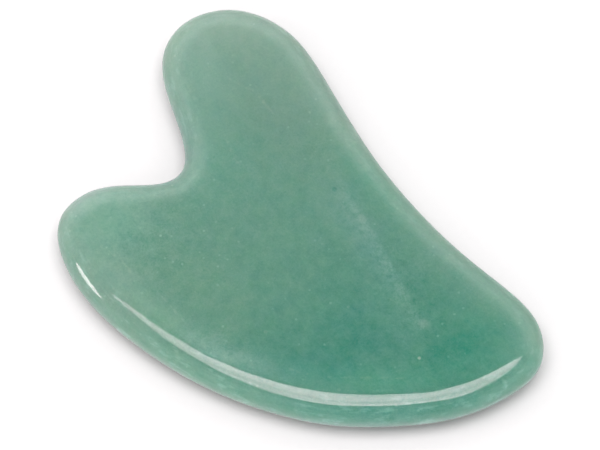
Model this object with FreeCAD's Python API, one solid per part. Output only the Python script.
import FreeCAD, Part
import os
from FreeCAD import Vector

# Gua sha scraper: a flat stone blade shaped like a lopsided heart with a long
# tail. Both broad faces are flat and parallel, and the edge all round is a
# half-ellipse in section, tangent to both faces.
#
# Frame: millimetres, +Z up. The origin is the centre of the outline's bounding
# box, on the lower face. +X runs along the longest extent towards the tip. The
# large lobe is at -X, +Y, the small lobe at -X, -Y, with the notch between them.

LENGTH = 80.0            # longest extent of the outline, along X
THICKNESS = 6.5          # distance between the two flat faces
EDGE_REACH = 4.8         # width of the rounded edge, at least THICKNESS / 2
SWEEP_TOLERANCE = 0.002  # how closely the swept edge surface is held
ANGULAR_TOLERANCE = 0.01  # the same, for its direction, in radians
LEVEL_TOLERANCE = 1e-3   # how near a rim edge lies to the height of its face
EXTENT_SAMPLES = 20000   # points used to measure the outline

MID_HEIGHT = THICKNESS / 2.0
UP = Vector(0, 0, 1)

# Points (x, y) that the outline passes through, clockwise seen from above.
# They give the proportions: the curve is scaled to LENGTH and centred.
OUTLINE = [
    # large lobe
    (-38.1, 20.7), (-33.7, 24.5), (-26.9, 26.3), (-17.8, 25.1),
    # long, faintly hollow edge
    (-5.5, 22.6), (5.7, 21.5), (18.0, 21.9), (28.4, 23.3),
    # blunt tip
    (34.6, 22.7), (39.0, 19.1), (40.0, 13.7),
    # long convex scraping edge
    (38.2, 5.2), (34.0, -2.5), (27.4, -10.6), (20.1, -16.4), (11.0, -21.3),
    (1.0, -24.6), (-8.8, -26.2),
    # small lobe
    (-17.0, -25.6), (-23.2, -23.0), (-25.7, -19.3), (-24.9, -12.8),
    # notch
    (-20.0, -5.7), (-19.9, -1.7), (-24.7, 1.9),
    # shoulder of the large lobe
    (-33.3, 5.4), (-38.4, 9.5), (-40.0, 14.9),
]


def closed_curve(points):
    """A smooth closed curve, its parameters spaced by the root of each chord."""
    params = [0.0]
    for point, following in zip(points, points[1:] + points[:1]):
        params.append(params[-1] + (following - point).Length ** 0.5)
    params = [param / params[-1] for param in params]
    curve = Part.BSplineCurve()
    curve.interpolate(Points=points, PeriodicFlag=True, Parameters=params)
    return curve


def extents(curve):
    """The curve's least and greatest x, then its least and greatest y."""
    first = curve.FirstParameter
    span = curve.LastParameter - first
    points = [curve.value(first + span * i / EXTENT_SAMPLES) for i in range(EXTENT_SAMPLES)]
    xs = [point.x for point in points]
    ys = [point.y for point in points]
    return min(xs), max(xs), min(ys), max(ys)


def blade_outline():
    """The outline at full size, at mid-thickness, where the blade is widest."""
    unscaled = closed_curve([Vector(x, y, 0) for x, y in OUTLINE])
    x_min, x_max, y_min, y_max = extents(unscaled)
    scale = LENGTH / (x_max - x_min)
    x_centre = (x_min + x_max) / 2.0
    y_centre = (y_min + y_max) / 2.0
    return closed_curve([
        Vector((x - x_centre) * scale, (y - y_centre) * scale, MID_HEIGHT)
        for x, y in OUTLINE
    ])


def edge_section(outline):
    """Half an ellipse square to the outline's start, from lower to upper face."""
    start = outline.value(outline.FirstParameter)
    tangent = outline.tangent(outline.FirstParameter)[0]
    # The outline runs clockwise, so the outside is on its left.
    outward = Vector(-tangent.y, tangent.x, 0)
    outward.normalize()
    centre = start - outward * EDGE_REACH
    low = centre - UP * MID_HEIGHT
    high = centre + UP * MID_HEIGHT
    # The major axis points outward, so the arc from low to high passes start.
    ellipse = Part.Ellipse(start, high, centre)
    arc = Part.ArcOfEllipse(ellipse, ellipse.parameter(low), ellipse.parameter(high))
    return Part.Wire([arc.toShape()])


def swept_edge(outline):
    """The rounded edge band, its section held upright all the way round."""
    sweep = Part.BRepOffsetAPI.MakePipeShell(Part.Wire([outline.toShape()]))
    sweep.setBiNormalMode(UP)
    sweep.setTolerance(SWEEP_TOLERANCE, SWEEP_TOLERANCE, ANGULAR_TOLERANCE)
    sweep.add(edge_section(outline))
    sweep.build()
    return sweep.shape()


def flat_face(edge_band, level):
    """The flat face that closes the edge band at one height."""
    rim = [
        edge for edge in edge_band.Edges
        if abs(edge.BoundBox.ZMin - level) < LEVEL_TOLERANCE
        and abs(edge.BoundBox.ZMax - level) < LEVEL_TOLERANCE
    ]
    return Part.Face(Part.Wire(rim))


def scraper_blade():
    """The edge band and the two flat faces, joined into one solid."""
    edge_band = swept_edge(blade_outline())
    flats = [flat_face(edge_band, level) for level in (0.0, THICKNESS)]
    shell = Part.makeShell(edge_band.Faces + flats)
    shell.sewShape()
    blade = Part.makeSolid(Part.Shell(shell.Faces))
    # Sewing can leave the shell inside out.
    if blade.Volume < 0:
        blade.reverse()
    return blade


parts = {"scraper_blade": scraper_blade()}

os.makedirs("parts", exist_ok=True)
for name, shape in parts.items():
    if not shape.isValid() or shape.ShapeType != "Solid":
        raise ValueError("%s is not a sound solid" % name)
    shape.exportStep("parts/%s.step" % name)
